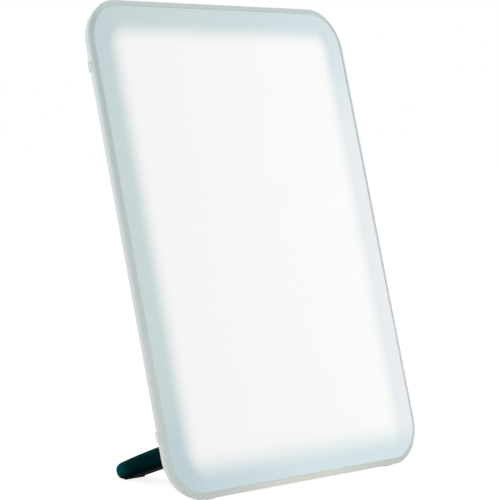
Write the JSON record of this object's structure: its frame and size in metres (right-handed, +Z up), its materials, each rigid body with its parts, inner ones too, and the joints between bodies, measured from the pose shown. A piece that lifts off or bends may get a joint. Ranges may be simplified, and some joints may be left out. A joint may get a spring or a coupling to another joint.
{
  "type": "light therapy lamp",
  "caption": "Slim light therapy lamp: an edge-lit diffuser panel in a thin bevelled frame, leaning back on two low feet and a fold-out rear leg, with a push button and a barrel power inlet.",
  "frame": {"origin": "middle of the lamp's footprint, on the surface it stands on", "axes": "+Z up from the table; +Y from the lit face towards the back; +X to the right as seen from the lit face"},
  "size_m": [0.2304, 0.0988, 0.2914],
  "materials": {
    "rim_plastic": "satin moulded ABS",
    "opal_acrylic": "opal acrylic, fine satin",
    "adhesive_foam": "matt foam tape",
    "white_foam": "matt closed-cell foam",
    "clear_film": "satin optical film",
    "clear_acrylic": "clear cast acrylic",
    "white_film": "matt white film",
    "tray_aluminium": "mill-finish sheet",
    "white_circuit_board": "white solder mask",
    "led_phosphor": "phosphor silicone",
    "zinc_steel": "zinc-plated steel",
    "shell_plastic": "fine-textured ABS",
    "foot_rubber": "matt silicone rubber",
    "leg_plastic": "satin moulded glass-filled nylon",
    "pad_rubber": "matt rubber",
    "pin_steel": "ground steel pin",
    "spring_steel": "phosphated spring steel",
    "washer_nylon": "natural nylon",
    "green_circuit_board": "green solder mask on glass laminate",
    "black_epoxy": "moulded epoxy",
    "ferrite": "sintered ferrite",
    "can_aluminium": "drawn aluminium can",
    "ceramic": "fired ceramic chips",
    "plug_nylon": "natural nylon",
    "wire_jacket": "smooth PVC insulation",
    "black_nylon": "moulded nylon",
    "contact_brass": "plated brass",
    "button_plastic": "satin moulded ABS"
  },
  "bodies": {
    "lamp": {"front_frame": "rim_plastic", "diffuser_panel": "opal_acrylic", "diffuser_gasket": "adhesive_foam", "light_seal": "white_foam", "prism_film": "clear_film", "light_guide_plate": "clear_acrylic", "reflector_sheet": "white_film", "light_tray": "tray_aluminium", "led_strips": "white_circuit_board", "led_packages": "led_phosphor", "tray_screws": "zinc_steel", "rear_shell": "shell_plastic", "shell_screws": "zinc_steel", "bottom_feet": "foot_rubber", "side_feet": "foot_rubber", "hinge_pin": "pin_steel", "hinge_clips": "spring_steel", "friction_washers": "washer_nylon", "driver_board": "green_circuit_board", "driver_chip": "black_epoxy", "power_inductor": "ferrite", "capacitors": "can_aluminium", "small_parts": "ceramic", "wire_plugs": "plug_nylon", "led_leads": "wire_jacket", "switch_leads": "wire_jacket", "board_screws": "zinc_steel", "jack_housing": "black_nylon", "jack_pin": "contact_brass", "jack_contacts": "contact_brass", "switch_body": "black_nylon", "switch_board": "green_circuit_board"},
    "leg": {"stand_leg": "leg_plastic", "leg_tip_pad": "pad_rubber"},
    "button": {"power_button": "button_plastic", "switch_plunger": "black_nylon"}
  },
  "joints": [
    {"name": "stand_fold", "type": "hinge", "parent": "lamp", "child": "leg", "pos_m": [-0.05928, -0.02673, 0.03026], "axis": [1, 0, 0], "range_deg": [0, 95.57]},
    {"name": "power_press", "type": "slide", "parent": "lamp", "child": "button", "axis": [0, -0.9686, 0.2487], "range_m": [0, 0.0005], "stiffness_N_per_m": 2000, "springref_m": -0.0005}
  ]
}
